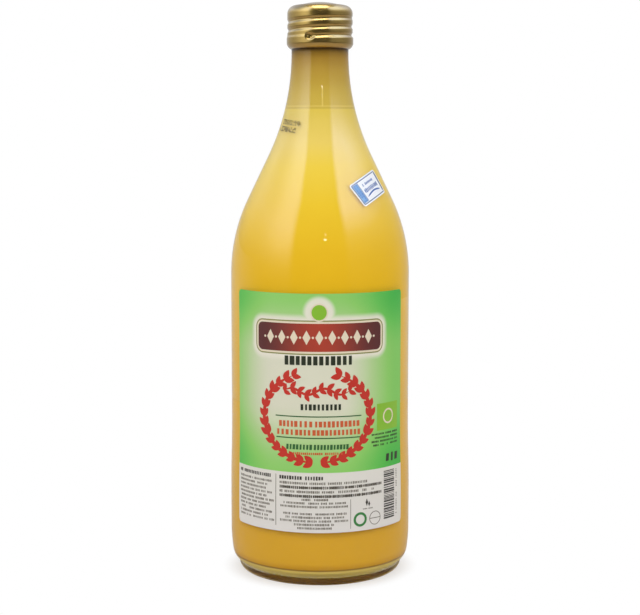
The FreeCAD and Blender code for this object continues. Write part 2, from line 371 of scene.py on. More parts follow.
cloudy_vinegar, bench = new_finish("cloudy_vinegar")
_, _, height = bench.place()
cloud = bench.noise(22.0, 3.0, (1.0, 1.0, 0.5))
height_and_cloud = height / FILL_LEVEL + (cloud - 0.5) * 0.03
# Painted light and shade: the colour is paler and lighter up under the shoulder and darker down towards the
# foot.
vinegar_colour = height_and_cloud.ramp(
    (0.000, paint(212, 162, 30)), (0.130, paint(216, 165, 30)),
    (0.600, paint(235, 186, 28)), (0.700, paint(234, 188, 36)),
    (0.800, paint(236, 197, 50)), (0.880, paint(238, 206, 74)),
    (0.930, paint(234, 206, 102)), (0.975, paint(227, 200, 94)),
    (1.000, paint(222, 196, 84)),
)
# Painted light: the floor of the bore is painted pale for light coming down through the cloudy vinegar, and a
# painted dark line runs round its edge.
painted_floor_light = 1 - height.share(7.9, 8.5)
painted_floor_edge_shade = 1 - abs(height - 8.4).share(0.15, 0.6)
vinegar_colour = bench.mixed(painted_floor_light, vinegar_colour, paint(244, 226, 122))
vinegar_colour = bench.mixed(painted_floor_edge_shade * 0.75, vinegar_colour, paint(140, 102, 24))
bench.painted({
    "Base Color": vinegar_colour,
    "Roughness": 0.6,
    "Specular IOR Level": 0.0,
})

vinegar = new_piece("vinegar_fill", turned("vinegar_fill", vinegar_outline), cloudy_vinegar)
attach(vinegar, "root")
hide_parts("vinegar")


# ---- Film in the neck -----------------------------------------------------------------------
# The vinegar that is left on the inside of the neck when the bottle has been moved, golden brown, with
# painted shade that darkens it up towards the cap, a fine painted highlight of the meniscus just above the
# level, and a short painted highlight of a mould seam.

FILM_BITE = 0.24
FILM_SKIN = 0.35
FILM_TOP = 266.0

film_side = glass_side(FILM_BITE - GLASS_WALL)
film_inside = glass_side(-FILM_SKIN - GLASS_WALL)
film_outline = [
    *[spot for spot in film_side if spot[1] > FILL_LEVEL - 1.5],
    (FINISH_BORE_RADIUS + FILM_BITE, CAP_BOTTOM + FINISH_BORE_TAPER),
    (FINISH_BORE_RADIUS + FILM_BITE, FILM_TOP),
    (FINISH_BORE_RADIUS - FILM_SKIN, FILM_TOP),
    (FINISH_BORE_RADIUS - FILM_SKIN, CAP_BOTTOM + FINISH_BORE_TAPER),
    *[spot for spot in reversed(film_inside) if spot[1] > FILL_LEVEL - 1.5],
]

neck_film, bench = new_finish("neck_film")
across, away, height = bench.place()
streaks = bench.noise(60.0, 2.0, (1.0, 1.0, 0.12))
rise_share = (height - FILL_LEVEL) / (CAP_BOTTOM - FILL_LEVEL) + (streaks - 0.5) * 0.05
# Painted shade: the film darkens up towards the cap, which shades it.
film_colour = rise_share.ramp(
    (0.00, paint(206, 178, 78)), (0.16, paint(203, 174, 74)),
    (0.30, paint(198, 168, 70)), (0.48, paint(188, 156, 62)),
    (0.66, paint(180, 146, 58)), (0.83, paint(164, 128, 48)),
    (0.95, paint(130, 98, 33)), (1.00, paint(88, 63, 20)),
)
# Painted highlight of the meniscus: a pale line just above the level.
painted_meniscus_highlight = 1 - abs(height - (FILL_LEVEL + 1.3)).share(0.1, 0.45)
film_colour = bench.mixed(painted_meniscus_highlight * 0.5, film_colour, paint(232, 208, 110))
# Painted highlight of a mould seam: a short pale upright line at the front of the neck.
painted_seam_highlight = 1 - abs(across - 1.1).share(0.1, 0.4)
painted_seam_highlight = painted_seam_highlight * height.share(226.5, 228.5) * (1 - height.share(235.0, 239.0)) * (away < 0)
film_colour = bench.mixed(painted_seam_highlight * 0.55, film_colour, paint(236, 214, 120))
bench.painted({
    "Base Color": film_colour,
    "Roughness": 0.55,
    "Specular IOR Level": 0.0,
})

film = new_piece("neck_film", turned("neck_film", film_outline), neck_film)
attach(film, "root")


# ---- Cap ------------------------------------------------------------------------------------
# A roll-on cap of thin aluminium under gold lacquer. It is pressed over the neck, and rollers then
# press its side into the glass's thread, from a round dent on, and its skirt in under the bead.

CAP_TOP = 277.7
CAP_SKIN = 0.25
CAP_SIDE_RADIUS = 15.8
CAP_BAND_RADIUS = 16.1
CAP_EDGE_RADIUS = 14.2
CAP_BAND_LOW = 257.5
CAP_BAND_HIGH = 261.2
CAP_ROUND = 4.0
CAP_DOME_RISE = 1.6
THREAD_PITCH = 4.1
THREAD_START_TURN = -22.0
THREAD_START_HEIGHT = 260.65
THREAD_TURNS = 2.45
THREAD_DEPTH = 0.55
THREAD_HALF_WIDTH = 1.45
DENT_DEPTH = 0.5
DENT_RADIUS = 2.1
CAP_SIDES = 360


def soft_step(value, low, high):
    share = min(max((value - low) / (high - low), 0.0), 1.0)
    return share * share * (3 - 2 * share)


def thread_depth(turn, height):
    """How deep the rolled thread lies at a turn from the front, in degrees, and a height."""
    deepest = 0.0
    gone = (turn - THREAD_START_TURN) % 360 / 360
    for lap in range(3):
        turns = gone + lap
        centre = THREAD_START_HEIGHT + THREAD_PITCH * turns
        off = abs(height - centre) / THREAD_HALF_WIDTH
        if off < 1:
            strength = soft_step(turns, 0.0, 0.02) * (1 - soft_step(turns, THREAD_TURNS - 0.25, THREAD_TURNS))
            deepest = max(deepest, strength * math.cos(off * math.pi / 2) ** 2)
    around = ((turn - THREAD_START_TURN - 4 + 180) % 360 - 180) * math.radians(CAP_SIDE_RADIUS)
    reach = math.hypot(around / 1.35, height - THREAD_START_HEIGHT) / DENT_RADIUS
    dent = 1 - soft_step(reach, 0.45, 1.0)
    return THREAD_DEPTH * deepest + DENT_DEPTH * dent


flat_radius = CAP_SIDE_RADIUS - CAP_ROUND
cap_shoulder = CAP_TOP - CAP_DOME_RISE
skirt = [
    (CAP_EDGE_RADIUS, CAP_BOTTOM),
    (CAP_EDGE_RADIUS + 0.55, CAP_BOTTOM + 0.35),
    (CAP_EDGE_RADIUS + 1.25, CAP_BOTTOM + 1.05),
    (CAP_BAND_RADIUS - 0.22, CAP_BAND_LOW - 0.35),
    (CAP_BAND_RADIUS, CAP_BAND_LOW + 0.15),
]
side_steps = 64
side_foot = CAP_BAND_LOW + 0.4
cap_side = []
for step in range(side_steps + 1):
    height = side_foot + (cap_shoulder - CAP_ROUND - side_foot) * step / side_steps
    waist = soft_step(height, CAP_BAND_HIGH - 0.8, CAP_BAND_HIGH + 0.5)
    cap_side.append((CAP_BAND_RADIUS + (CAP_SIDE_RADIUS - CAP_BAND_RADIUS) * waist, height))
cap_crown = arc((flat_radius, cap_shoulder - CAP_ROUND), CAP_ROUND, 0, 90, 16)[1:]
cap_top = list(reversed(dome(flat_radius - 1.2, cap_shoulder, CAP_DOME_RISE, 8)))
cap_outside = [*skirt, *cap_side, *cap_crown, *cap_top]
cap_inside = [
    (0, cap_shoulder),
    (flat_radius, cap_shoulder - CAP_SKIN),
    (CAP_SIDE_RADIUS - 1.3, cap_shoulder - 2.0),
    (CAP_SIDE_RADIUS - 1.5, cap_shoulder - CAP_ROUND),
    (CAP_SIDE_RADIUS - 1.5, CAP_BAND_HIGH),
    (CAP_BAND_RADIUS - 1.2, CAP_BAND_HIGH - 1),
    (CAP_BAND_RADIUS - 1.2, CAP_BAND_LOW + 0.4),
    (CAP_EDGE_RADIUS - CAP_SKIN, CAP_BOTTOM),
]
cap_mesh = turned("gold_cap", list(reversed(cap_inside + cap_outside)), CAP_SIDES, 60)
cap_mesh.flip_normals()
for vertex in cap_mesh.vertices:
    radius = math.hypot(vertex.co.x, vertex.co.y)
    height = vertex.co.z / MM
    if radius / MM > CAP_SIDE_RADIUS - 0.6 and height > CAP_BAND_LOW + 0.3:
        turn = math.degrees(math.atan2(vertex.co.x, -vertex.co.y))
        pressed = 1 - thread_depth(turn, height) * MM / radius
        vertex.co.x *= pressed
        vertex.co.y *= pressed

gold_lacquer, bench = new_finish("gold_lacquer")
rolling_marks = bench.noise(420.0, 2.0, (0.35, 0.35, 3.0))
handling = bench.noise(130.0, 3.0)
gold_colour = handling.ramp(
    (0.30, paint(164, 132, 60)), (0.70, paint(178, 146, 74)),
)
bench.painted({
    "Base Color": gold_colour,
    "Metallic": 1.0,
    "Roughness": 0.24 + handling * 0.12,
    "Normal": bench.bump(rolling_marks, 0.00002),
    "Coat Weight": 1.0,
    "Coat Roughness": 0.12,
})

cap = new_piece("gold_cap", cap_mesh, gold_lacquer)
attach(cap, "root")
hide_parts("cap")


# ---- Label paper ----------------------------------------------------------------------------
# One sheet of coated paper round the front of the bottle, glued flat, with rounded corners. It is
# printed green, paler in the middle, over an off-white panel for the small print.

PAPER = 0.15
LABEL_WIDTH = 96.0
LABEL_HEIGHT = 113.4
LABEL_BOTTOM = 27.5
LABEL_CORNER = 2.0
PANEL_TOP = 28.8
PLAQUE = (-32.0, 86.2, 31.4, 99.4)
PLAQUE_CORNER = 2.6
PLAQUE_HALO = 5.0
MEDAL = (-0.4, 104.6)

dry_side = glass_side(0)
dry_heights = [height for _, height in dry_side]
dry_radii = [radius for radius, _ in dry_side]


def glass_radius(height):
    return float(np.interp(height, dry_heights, dry_radii))


def on_glass(angle, height, lift):
    """Place by an angle from the front in radians, a height, and a distance off the glass."""
    radius = glass_radius(height) + lift
    return Vector((radius * math.sin(angle), -radius * math.cos(angle), height)) * MM


def on_panel(across, up, lift):
    """Place on the label: millimetres round the glass, up from the label's foot, and off the glass."""
    return on_glass(across / FULL_RADIUS, LABEL_BOTTOM + up, lift)


def laid(mesh, spot):
    """A flat mesh in millimetres, laid on the bottle by a function of its places."""
    for vertex in mesh.vertices:
        vertex.co = spot(*vertex.co)
    mesh.update()
    return mesh


def plates(name, strips, low, high):
    """Mesh of thin flat plates. Each strip is a list of edges side by side, of (across, up) places,
    and whether the edges close on themselves."""
    form = bmesh.new()
    for edges, closed in strips:
        under = [[form.verts.new((*spot, low)) for spot in edge] for edge in edges]
        over = [[form.verts.new((*spot, high)) for spot in edge] for edge in edges]
        count = len(edges[0])
        steps = [(n, n + 1) for n in range(len(edges) - 1)]
        for here in range(count if closed else count - 1):
            after = (here + 1) % count
            for near, far in steps:
                form.faces.new((over[near][here], over[near][after], over[far][after], over[far][here]))
                form.faces.new((under[far][here], under[far][after], under[near][after], under[near][here]))
            form.faces.new((under[0][here], under[0][after], over[0][after], over[0][here]))
            form.faces.new((over[-1][here], over[-1][after], under[-1][after], under[-1][here]))
        if not closed:
            for near, far in steps:
                form.faces.new((under[near][0], over[near][0], over[far][0], under[far][0]))
                form.faces.new((under[far][-1], over[far][-1], over[near][-1], under[near][-1]))
    bmesh.ops.remove_doubles(form, verts=form.verts, dist=1e-4)
    bmesh.ops.recalc_face_normals(form, faces=form.faces)
    mesh = bpy.data.meshes.new(name)
    form.to_mesh(mesh)
    form.free()
    return mesh


def block(left, foot, right, top, corner=0.0, step=1.2, rows=1):
    """Strip that fills a rectangle with rounded corners, in rows."""
    count = max(2, math.ceil((right - left) / step))
    stops = [left + (right - left) * n / count for n in range(count + 1)]
    if corner:
        near = [corner * (1 - math.cos(math.radians(15 * n))) for n in range(7)]
        stops = [s for s in stops if left + corner < s < right - corner]
        stops = [left + n for n in near] + stops + [right - n for n in reversed(near)]
    edges = []
    for row in range(rows + 1):
        edge = []
        for s in stops:
            end = min(s - left, right - s)
            cut = corner - math.sqrt(max(corner ** 2 - (corner - end) ** 2, 0)) if end < corner else 0
            edge.append((s, foot + cut + (top - foot - 2 * cut) * row / rows))
        edges.append(edge)
    return (edges, False)


label_paper, bench = new_finish("label_paper")
sheet = bench.node("ShaderNodeUVMap", uv_map="sheet")
sheet_parts = bench.node("ShaderNodeSeparateXYZ", {0: sheet})
across = (sheet_parts["X"] - 0.5) * LABEL_WIDTH
up = sheet_parts["Y"] * LABEL_HEIGHT
inward = 1 - abs(across + 7.0).share(16.0, 51.0)
midway = up.share(28.0, 62.0) * (1 - up.share(84.0, 113.0))
edge_tone = 0.03 + midway * 0.36
middle_tone = 0.46 + midway * 0.54
tone = edge_tone + (middle_tone - edge_tone) * inward
field_colour = tone.ramp(
    (0.00, paint(46, 178, 60)), (0.22, paint(96, 194, 78)),
    (0.45, paint(136, 205, 98)), (0.70, paint(174, 209, 142)),
    (1.00, paint(216, 217, 196)),
)
beyond_across = abs(across - (PLAQUE[0] + PLAQUE[2]) / 2) - (PLAQUE[2] - PLAQUE[0]) / 2 + PLAQUE_CORNER
beyond_up = abs(up - (PLAQUE[1] + PLAQUE[3]) / 2) - (PLAQUE[3] - PLAQUE[1]) / 2 + PLAQUE_CORNER
outward = bench.length(across.math("MAXIMUM", beyond_across, 0.0), across.math("MAXIMUM", beyond_up, 0.0))
halo = 1 - outward.share(PLAQUE_CORNER + 1.8, PLAQUE_CORNER + PLAQUE_HALO)
round_medal = bench.length(across - MEDAL[0], up - MEDAL[1])
halo = halo.math("MAXIMUM", halo, 1 - round_medal.share(5.8, 8.6))
field_colour = bench.mixed(halo * 0.92, field_colour, paint(231, 227, 214))
fibres = bench.noise(900.0, 3.0)
on_foot = up < PANEL_TOP
panel_colour = bench.mixed(up.share(0.0, PANEL_TOP), paint(222, 221, 219), paint(221, 220, 214))
sheet_colour = bench.mixed(on_foot, field_colour, panel_colour)
sheet_colour = bench.mixed((fibres - 0.4) * 0.05, sheet_colour, paint(150, 150, 140))
bench.painted({
    "Base Color": sheet_colour,
    "Roughness": 0.5 + (fibres - 0.5) * 0.1,
    "Normal": bench.bump(fibres, 0.00001),
})

half_width = LABEL_WIDTH / 2
sheet_outline = block(-half_width, 0, half_width, LABEL_HEIGHT, LABEL_CORNER, 1.0, 54)
label_mesh = plates("label_sheet", [sheet_outline], -0.02, PAPER)
sheet_map = label_mesh.uv_layers.new(name="sheet")
for loop in label_mesh.loops:
    spot = label_mesh.vertices[loop.vertex_index].co
    sheet_map.data[loop.index].uv = (spot.x / LABEL_WIDTH + 0.5, spot.y / LABEL_HEIGHT)
laid(label_mesh, on_panel)
label_mesh.shade_smooth()
label_mesh.set_sharp_from_angle(angle=math.radians(35))
label = new_piece("label_sheet", label_mesh, label_paper)
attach(label, "root")
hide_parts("label")


# ---- Label print ----------------------------------------------------------------------------
# Inks printed on the label in plain, generic shapes: a plaque with lozenges, a wreath and a vine,
# rules, rows of little blocks where a pack has its small print, rings and a striped strip.

INK = 0.035
INK_LOW = PAPER - 0.02
INK_HIGH = PAPER + INK


def ink(name, colour, second=None, fade=0.0):
    """Printing ink with a little unevenness, or two colours that meet across the label."""
    material, bench = new_finish(name)
    mottle = bench.noise(1400.0, 2.0)
    shade = bench.mixed((mottle - 0.35) * 0.25, colour, tuple(0.8 * c for c in colour[:3]) + (1.0,))
    if second:
        across, _, _ = bench.place()
        shade = bench.mixed(abs(across).share(0.0, fade), shade, second)
    bench.painted({
        "Base Color": shade,
        "Roughness": 0.4 + (mottle - 0.5) * 0.1,
    })
    return material


dark_ink = ink("dark_ink", paint(36, 44, 26))
green_ink = ink("green_ink", paint(40, 96, 44))
red_ink = ink("red_ink", paint(194, 40, 24))
orange_ink = ink("orange_ink", paint(200, 88, 44))
lime_ink = ink("lime_ink", paint(132, 188, 44))
ring_ink = ink("ring_ink", paint(48, 128, 62))
cream_ink = ink("cream_ink", paint(226, 214, 190))
olive_ink = ink("olive_ink", paint(136, 140, 74))
grey_ink = ink("grey_ink", paint(112, 108, 98))
black_ink = ink("black_ink", paint(52, 50, 46))
plaque_ink = ink("plaque_ink", paint(172, 58, 36), paint(86, 36, 36), 28.0)


def stuck(name, mesh, material, spot=on_panel):
    """A printed piece, laid on its paper."""
    made = new_piece(name, laid(mesh, spot), material)
    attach(made, "root")


def printed(name, shapes, material, high=INK_HIGH, spot=on_panel):
    """Flat shapes printed as one piece."""
    stuck(name, plates(name, shapes, INK_LOW, high), material, spot)


def frame_round(box, corner, inner, outer):
    """Strip round a rectangle with rounded corners, between two distances outside it."""
    loops = []
    for off in (inner, outer):
        left, foot, right, top = box[0] - off, box[1] - off, box[2] + off, box[3] + off
        bend = corner + off
        loop = []
        for turn, s, t in ((270, right - bend, foot + bend), (0, right - bend, top - bend),
                           (90, left + bend, top - bend), (180, left + bend, foot + bend)):
            loop += arc((s, t), bend, turn, turn + 90, 6)
        fine = []
        for here, after in zip(loop, loop[1:] + loop[:1]):
            parts = math.ceil(math.dist(here, after) / 1.3)
            fine += [(here[0] + (after[0] - here[0]) * n / parts,
                      here[1] + (after[1] - here[1]) * n / parts) for n in range(parts)]
        loops.append(fine)
    return (loops, True)


def ring(across, up, inner, outer, sides=40):
    edges = [arc((across, up), radius, 0, 360 - 360 / sides, sides - 1) for radius in (inner, outer)]
    return (edges, True)


def disc(across, up, radius, sides=24):
    return ([arc((across, up), radius, 180, end, sides) for end in (360, 0)], False)


def lozenge(across, up, half_width, half_height):
    return ([[(across - half_width, up), (across, up + tip), (across + half_width, up)]
             for tip in (-half_height, half_height)], False)


printed("print_plaque", [block(*PLAQUE, PLAQUE_CORNER)], plaque_ink)
printed("print_plaque_line", [frame_round(PLAQUE, PLAQUE_CORNER, 0.9, 1.5)], olive_ink)
cream_shapes = [frame_round(PLAQUE, PLAQUE_CORNER, 0.0, 0.9)]
plaque_middle = (PLAQUE[1] + PLAQUE[3]) / 2
for count in range(-4, 5):
    cream_shapes.append(lozenge(count * 6.1 - 0.3, plaque_middle, 1.9, 3.4))
for count in range(-5, 5):
    cream_shapes.append(disc(count * 6.1 + 2.75, plaque_middle, 0.55, 8))
cream_shapes.append(ring(*MEDAL, 3.6, 4.3))
cream_shapes.append(ring(37.0, 53.5, 2.9, 3.7))
printed("print_cream", cream_shapes, cream_ink, INK_HIGH + 0.02)
printed("print_medal", [disc(*MEDAL, 3.6)], lime_ink)
printed("print_square", [block(29.4, 47.0, 44.5, 60.0, 0.0, 1.2, 6)], lime_ink)


def new_growth(name, *sizes):
    """Geometry tree that takes a mesh, sizes, a seed and an ink, with its bench and those inputs."""
    tree = bpy.data.node_groups.new(name, "GeometryNodeTree")
    kinds = {"Geometry": "Geometry", **dict.fromkeys(sizes, "Float"), "Seed": "Int", "Ink": "Material"}
    for label, kind in kinds.items():
        tree.interface.new_socket(label, in_out="INPUT", socket_type="NodeSocket" + kind)
    tree.interface.new_socket("Geometry", in_out="OUTPUT", socket_type="NodeSocketGeometry")
    bench = Bench(tree)
    return tree, bench, bench.node("NodeGroupInput")


def spots_along(bench, given, pitch):
    """Points along the edges of the given mesh, a pitch apart."""
    line = bench.node("GeometryNodeMeshToCurve", {0: given["Geometry"]})
    return bench.node("GeometryNodeResampleCurve", {"Curve": line, "Length": pitch}, mode="LENGTH")


def grown_out(bench, given, instances):
    """The end of a tree: its instances made real, in the given ink."""
    made = bench.node("GeometryNodeRealizeInstances", {0: instances})
    made = bench.node("GeometryNodeSetMaterial", {"Geometry": made, "Material": given["Ink"]})
    bench.node("NodeGroupOutput", {0: made})


# Little blocks along the edges of a mesh, each with its own size.
marks_in_rows, bench, given = new_growth("marks_in_rows", "Gap share", "Narrowest", "Shortest", "Slant",
                                         "Thickness")
pitch, width, height = [bench.node("GeometryNodeInputNamedAttribute", {"Name": size}, data_type="FLOAT")
                        for size in ("pitch", "width", "height")]
unit = bench.node("GeometryNodeMeshCube",
                  {"Size": (1.0, 1.0, 1.0), "Vertices X": 3, "Vertices Y": 2, "Vertices Z": 2})
spot = bench.node("GeometryNodeInputPosition")
lean = bench.node("ShaderNodeSeparateXYZ", {0: spot})["Y"] * given["Slant"]
lean = bench.node("ShaderNodeCombineXYZ", {0: lean})
unit = bench.node("GeometryNodeSetPosition", {"Geometry": unit, "Offset": lean})
scale = bench.node("ShaderNodeCombineXYZ", {
    0: width * bench.chance(given["Narrowest"], 1.0, given["Seed"] + 1),
    1: height * bench.chance(given["Shortest"], 1.0, given["Seed"] + 2),
    2: given["Thickness"]})
kept = bench.chance(0.0, 1.0, given["Seed"] + 3) > given["Gap share"]
grown_out(bench, given, bench.node("GeometryNodeInstanceOnPoints", {
    "Points": spots_along(bench, given, pitch), "Selection": kept, "Instance": unit, "Scale": scale}))


def grown(name, base, tree, values):
    """Plain mesh that a geometry tree makes of a base mesh."""
    holder = linked(name, base)
    modifier = holder.modifiers.new("grow", "NODES")
    modifier.node_group = tree
    for item in tree.interface.items_tree:
        if item.in_out == "INPUT" and item.name in values:
            modifier[item.identifier] = values[item.name]
    graph = bpy.context.evaluated_depsgraph_get()
    mesh = bpy.data.meshes.new_from_object(holder.evaluated_get(graph), depsgraph=graph)
    bpy.data.objects.remove(holder)
    bpy.data.meshes.remove(base)
    mesh.name = name
    return mesh


def print_rows(name, rows, material, gaps, narrowest, shortest, slant, seed,
               low=INK_LOW, high=INK_HIGH, spot=on_panel):
    """Rows of blocks: each row has its two ends, its pitch, and its blocks' width and height."""
    verts = []
    for left, foot, right, top, *_ in rows:
        verts += [(left, foot, (low + high) / 2), (right, top, (low + high) / 2)]
    base = new_mesh(name, verts, [], [(2 * n, 2 * n + 1) for n in range(len(rows))])
    for place, word in enumerate(("pitch", "width", "height"), 4):
        layer = base.attributes.new(word, "FLOAT", "POINT")
        for n, row in enumerate(rows):
            layer.data[2 * n].value = row[place]
            layer.data[2 * n + 1].value = row[place]
    mesh = grown(name, base, marks_in_rows, {
        "Gap share": gaps, "Narrowest": narrowest, "Shortest": shortest, "Slant": slant,
        "Thickness": high - low, "Seed": seed, "Ink": material})
    stuck(name, mesh, material, spot)


def level_row(left, right, up, height, pitch=None):
    """A level row of blocks of a height, each nearly as wide as its pitch."""
    pitch = pitch or height * 0.8
    return (left, up, right, up, pitch, pitch * 0.86, height)


headline = [level_row(-16.2, 14.6, 82.0, 4.4, 2.8), level_row(-8.6, 9.4, 60.0, 2.9, 1.9)]
side_rows = [level_row(26.5 + n % 2, 44.2, 45.4 - n * 1.75, 1.0, 0.85) for n in range(4)]
print_rows("print_headline", headline, dark_ink, 0.0, 0.55, 0.95, 0.0, 4)
middle_row = [level_row(-15.8, -4.4, 41.0, 2.6, 1.5), level_row(-2.4, 13.2, 41.0, 2.6, 1.5)]
print_rows("print_middle", middle_row, green_ink, 0.0, 0.7, 0.85, 0.1, 8)
print_rows("print_side", side_rows, dark_ink, 0.1, 0.6, 0.8, 0.0, 5)
print_rows("print_volume", [level_row(36.4, 43.2, 33.4, 4.2, 2.9)], dark_ink, 0.0, 0.5, 0.7, 0.2, 3)
rules = [block(-22.0, 55.2, 20.4, 55.75), block(-21.6, 45.0, 20.0, 45.55)]
printed("print_rules", rules, green_ink)
orange_rows = [level_row(*ends, 51.9, 3.0, 1.9) for ends in ((-19.4, -11.6), (-9.2, -4.4), (-1.8, 18.6))]
orange_rows += [level_row(*ends, 47.9, 2.8, 1.85) for ends in ((-20.6, -13.6), (-11.2, -5.2), (-2.8, 19.0))]
print_rows("print_orange", orange_rows, orange_ink, 0.0, 0.62, 0.9, 0.0, 6)
small_row = level_row(-12.6, 10.4, 37.9, 1.3, 0.95)
print_rows("print_orange_small", [small_row], orange_ink, 0.1, 0.6, 0.8, 0.0, 7)

panel_rows = []
for n in range(11):
    end = -23.0 - (n * 7 % 5) * 1.2
    panel_rows.append(level_row(-45.6, end, 23.6 - n * 1.87, 1.15, 0.72))
for n, end in enumerate((23.0, 31.6, 27.0, 31.6)):
    panel_rows.append(level_row(-19.4, end, 23.7 - n * 2.05, 1.3, 0.85))
for n, (start, end) in enumerate(((-8.5, 3.5), (-17.4, 12.0), (-19.0, 13.0), (0, 0),
                                  (-17.6, 12.4), (-16.4, 11.2), (-19.2, 13.2), (-12.2, 6.4), (-10.6, 5.2))):
    if end > start:
        panel_rows.append(level_row(start, end, 15.9 - n * 1.72, 1.15, 0.75))
panel_rows.append(level_row(21.3, 26.3, 10.4, 0.7, 0.6))
panel_rows.append((43.2, 5.0, 43.2, 26.5, 0.8, 1.0, 0.5))
print_rows("print_small", panel_rows, grey_ink, 0.12, 0.55, 0.75, 0.0, 11)
bold_rows = [level_row(-45.6, -25.0, 26.3, 1.7, 1.1), level_row(-19.4, 1.0, 26.2, 1.9, 1.25),
             *[level_row(-19.4, 31.6, up, 1.45, 0.95) for up in (21.65, 17.55)]]
print_rows("print_bold", bold_rows, black_ink, 0.12, 0.6, 0.8, 0.0, 13)
chances = random.Random(17)
stripes = []
foot = 3.6
while foot < 27.0:
    top = foot + chances.choice((0.3, 0.45, 0.6, 0.8))
    stripes.append(block(33.6, foot, 41.4, top))
    foot = top + chances.choice((0.25, 0.35, 0.55))
printed("print_stripes", stripes, black_ink)
dividers = [block(-21.9, 2.6, -21.6, 27.4, 0.0, 0.3, 10), block(14.6, 1.5, 14.85, 15.7, 0.0, 0.3, 6),
            ring(28.0, 5.3, 3.0, 3.35), block(25.0, 5.15, 31.0, 5.5)]
printed("print_dividers", dividers, grey_ink)
printed("print_ring", [ring(19.7, 5.5, 2.3, 3.5)], ring_ink)
printed("print_drop", [lozenge(23.2, 13.4, 0.7, 1.9), lozenge(24.5, 12.6, 0.6, 1.3)], black_ink)


# Leaves on both sides of a stem, at an angle to it.
leaves_on_stem, bench, given = new_growth("leaves_on_stem", "Pitch", "Leaf length", "Leaf width",
                                          "Leaf angle", "Thickness")
spots = spots_along(bench, given, given["Pitch"])
leaf = bench.node("GeometryNodeMeshCube",
                  {"Size": (1.0, 1.0, 1.0), "Vertices X": 9, "Vertices Y": 3, "Vertices Z": 2})
parts = bench.node("ShaderNodeSeparateXYZ", {0: bench.node("GeometryNodeInputPosition")})
along = parts["X"] + 0.5
belly = along.math("POWER", along.math("SINE", along.math("POWER", along, 0.8) * math.pi), 0.8) + 0.04
shaped = bench.node("ShaderNodeCombineXYZ", {
    0: along * given["Leaf length"],
    1: parts["Y"] * belly * given["Leaf width"],
    2: parts["Z"] * given["Thickness"]})
leaf = bench.node("GeometryNodeSetPosition", {"Geometry": leaf, "Position": shaped})
heading = bench.node("ShaderNodeSeparateXYZ", {0: bench.node("GeometryNodeInputTangent")})
heading = heading["X"].math("ARCTAN2", heading["Y"], heading["X"])
leaf_size = bench.chance(0.86, 1.08, given["Seed"])
joined = bench.node("GeometryNodeJoinGeometry")
for side in (-1, 1):
    turn = bench.node("ShaderNodeCombineXYZ", {2: heading + given["Leaf angle"] * side})
    turn = bench.node("FunctionNodeEulerToRotation", {0: turn})
    leaves = bench.node("GeometryNodeInstanceOnPoints",
                        {"Points": spots, "Instance": leaf, "Rotation": turn, "Scale": leaf_size})
    leaves_on_stem.links.new(leaves.socket, joined.socket.node.inputs[0])
grown_out(bench, given, joined)


def print_leaves(name, stems, material, pitch, length, width, angle, seed):
    """Leaves along stems, each a list of (across, up) places."""
    verts = []
    edges = []
    for stem in stems:
        first = len(verts)
        verts += [(s, t, (INK_LOW + INK_HIGH) / 2) for s, t in stem]
        edges += [(n, n + 1) for n in range(first, len(verts) - 1)]
    mesh = grown(name, new_mesh(name, verts, [], edges), leaves_on_stem, {
        "Pitch": pitch, "Leaf length": length, "Leaf width": width, "Leaf angle": math.radians(angle),
        "Thickness": INK_HIGH - INK_LOW, "Seed": seed, "Ink": material})
    stuck(name, mesh, material)


def ribbon(stem, width):
    """Strip of a width along a stem, pointed at both ends."""
    low = []
    high = []
    last = len(stem) - 1
    for n, (s, t) in enumerate(stem):
        before = stem[max(n - 1, 0)]
        after = stem[min(n + 1, last)]
        heading = math.atan2(after[1] - before[1], after[0] - before[0])
        half = width / 2 * min(1.0, 0.15 + 6 * n / last, 0.15 + 6 * (last - n) / last)
        low.append((s + half * math.sin(heading), t - half * math.cos(heading)))
        high.append((s - half * math.sin(heading), t + half * math.cos(heading)))
    return ([low, high], False)


WREATH_MIDDLE = (-1.6, 55.2)
WREATH_HALF_WIDTH = 27.0
WREATH_HALF_HEIGHT = 21.6
wreath_stems = []
for side in (-1, 1):
    stem = []
    for n in range(49):
        angle = math.radians(-86 + 150 * n / 48)
        stem.append((WREATH_MIDDLE[0] + side * WREATH_HALF_WIDTH * math.cos(angle),
                     WREATH_MIDDLE[1] + WREATH_HALF_HEIGHT * math.sin(angle)))
    wreath_stems.append(stem)
printed("print_wreath_stem", [ribbon(stem, 1.9) for stem in wreath_stems], red_ink)
print_leaves("print_wreath", wreath_stems, red_ink, 4.3, 5.0, 2.7, 32, 21)
vine = [(-17.6 + 31.6 * n / 60, 67.4 + 1.5 * math.sin(n / 60 * 4 * math.pi)) for n in range(61)]
printed("print_vine_stem", [ribbon(vine, 1.2)], red_ink)
print_leaves("print_vine", [vine], red_ink, 3.5, 4.1, 2.1, 48, 22)


# ---- Tag on the shoulder --------------------------------------------------------------------
# A small white paper sticker with rounded corners, put on by hand and a little askew. It has a
# slate line round it, a blue strip at one end and a few plain blue blocks.

TAG_LENGTH = 21.2
TAG_WIDTH = 12.4
TAG_CORNER = 1.3
TAG_HEIGHT = 189.4
TAG_AZIMUTH = 47.2
TAG_TURN = 21.5

around = math.radians(TAG_AZIMUTH)
tilt = math.radians(TAG_TURN)
tag_slope = math.atan2(glass_radius(TAG_HEIGHT - 5) - glass_radius(TAG_HEIGHT + 5), 10)
tag_out = Vector((math.sin(around), -math.cos(around), 0))
tag_level = Vector((math.cos(around), math.sin(around), 0))
tag_normal = tag_out * math.cos(tag_slope) + Vector((0, 0, math.sin(tag_slope)))
tag_rise = Vector((0, 0, math.cos(tag_slope))) - tag_out * math.sin(tag_slope)
tag_centre = tag_out * glass_radius(TAG_HEIGHT) + Vector((0, 0, TAG_HEIGHT))


